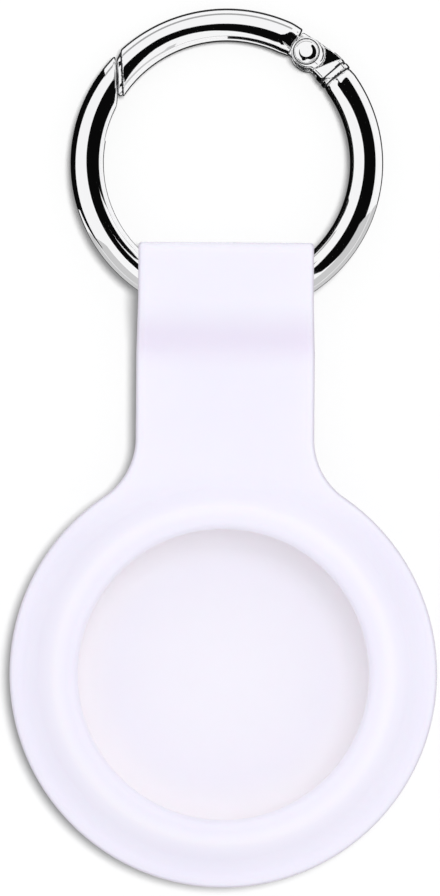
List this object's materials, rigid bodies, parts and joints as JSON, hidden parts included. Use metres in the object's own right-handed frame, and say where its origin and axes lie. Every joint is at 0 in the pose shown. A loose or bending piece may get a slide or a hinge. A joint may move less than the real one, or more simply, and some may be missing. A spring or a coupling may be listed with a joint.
{
  "type": "tracker tag holder",
  "caption": "Soft key ring holder with a round open-faced pocket for a coin-shaped tracker tag, a short flexible strap with a slotted eye, and a sprung gate ring.",
  "frame": {"origin": "centre of the pocket's flat back face, on the axis of the round pocket", "axes": "+Z out of the pocket's open face, +Y along the strap towards the ring, +X to the right seen from the front"},
  "size_m": [0.04, 0.0824, 0.0096],
  "materials": {
    "silicone": "matte",
    "ring_metal": "polished",
    "spring_steel": "satin"
  },
  "bodies": {
    "sleeve": {"pocket": "silicone", "strap": "silicone"},
    "eye": {"loop": "silicone"},
    "ring": {"ring_body": "ring_metal", "hinge_pin": "ring_metal", "gate_spring": "spring_steel"},
    "gate": {"gate": "ring_metal"},
    "plunger": {"plunger": "spring_steel"}
  },
  "joints": [
    {"name": "strap_flex", "type": "hinge", "parent": "sleeve", "child": "eye", "pos_m": [0, 0.02593, 0.0053], "axis": [1, 0, 0], "range_deg": [-75, 75], "stiffness_Nm_per_rad": 0.005, "deforming": ["strap"]},
    {"name": "ring_turn", "type": "hinge", "parent": "eye", "child": "ring", "pos_m": [0, 0.04784, 0.00323], "axis": [0, 0.1271, 0.9919], "range_deg": [-85, 35]},
    {"name": "gate_pivot", "type": "hinge", "parent": "ring", "child": "gate", "pos_m": [0.00738, 0.05818, 0.0019], "axis": [0, 0.1271, 0.9919], "range_deg": [0, 30], "stiffness_Nm_per_rad": 0.01, "springref_deg": -28.65},
    {"name": "plunger_slide", "type": "slide", "parent": "ring", "child": "plunger", "axis": [0.8161, -0.5732, 0.0734], "range_m": [0, 0.00042], "deforming": ["gate_spring"]}
  ],
  "couplings": [
    {"joint": "plunger_slide", "follows": "gate_pivot", "m_per_rad": 0.00078}
  ]
}
